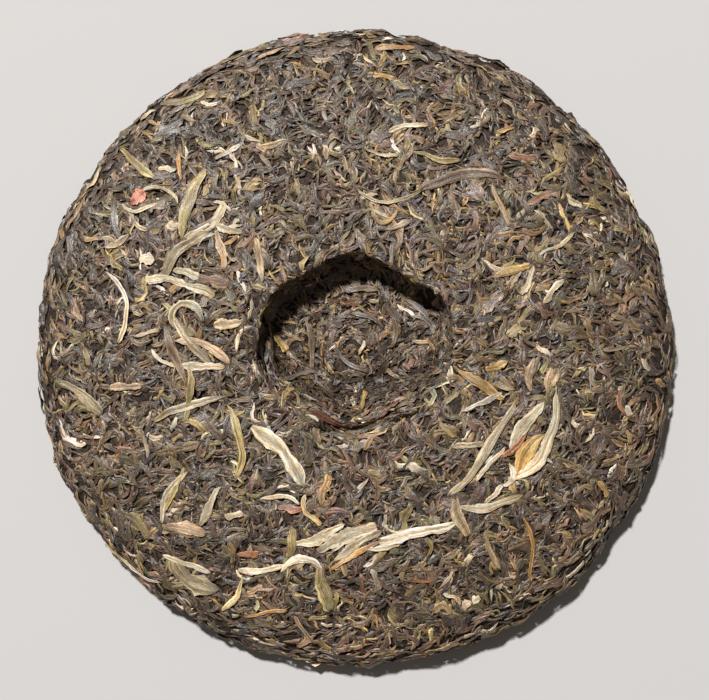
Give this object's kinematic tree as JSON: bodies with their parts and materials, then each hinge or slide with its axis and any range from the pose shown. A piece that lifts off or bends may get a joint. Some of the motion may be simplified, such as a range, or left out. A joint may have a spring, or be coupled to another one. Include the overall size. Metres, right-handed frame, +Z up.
{
  "type": "pu erh tea cake",
  "caption": "Round cake of dark pressed tea leaves, bare of its paper, lying with the dimple of its back up; food to be broken up and brewed.",
  "frame": {"origin": "on the resting plane, under the middle of the cake's outline", "axes": "+Z up through the middle of the disc, from its domed front to its dimpled back; +Y towards the top of the picture, where the dimple's wall is steepest"},
  "size_m": [0.2008, 0.2006, 0.0253],
  "materials": {
    "dark_leaf": "dry twisted dark brown and charcoal tea leaf with a faint grey sheen",
    "umber_leaf": "dry warm brown tea leaf",
    "olive_leaf": "dry olive brown tea leaf",
    "gold_leaf": "dry golden tan buds and stems",
    "pale_leaf": "dry straw and cream leaf blades",
    "russet_leaf": "dry red brown stems and leaf"
  },
  "bodies": {
    "root": {"tea_cake": "dark_leaf"}
  },
  "joints": []
}
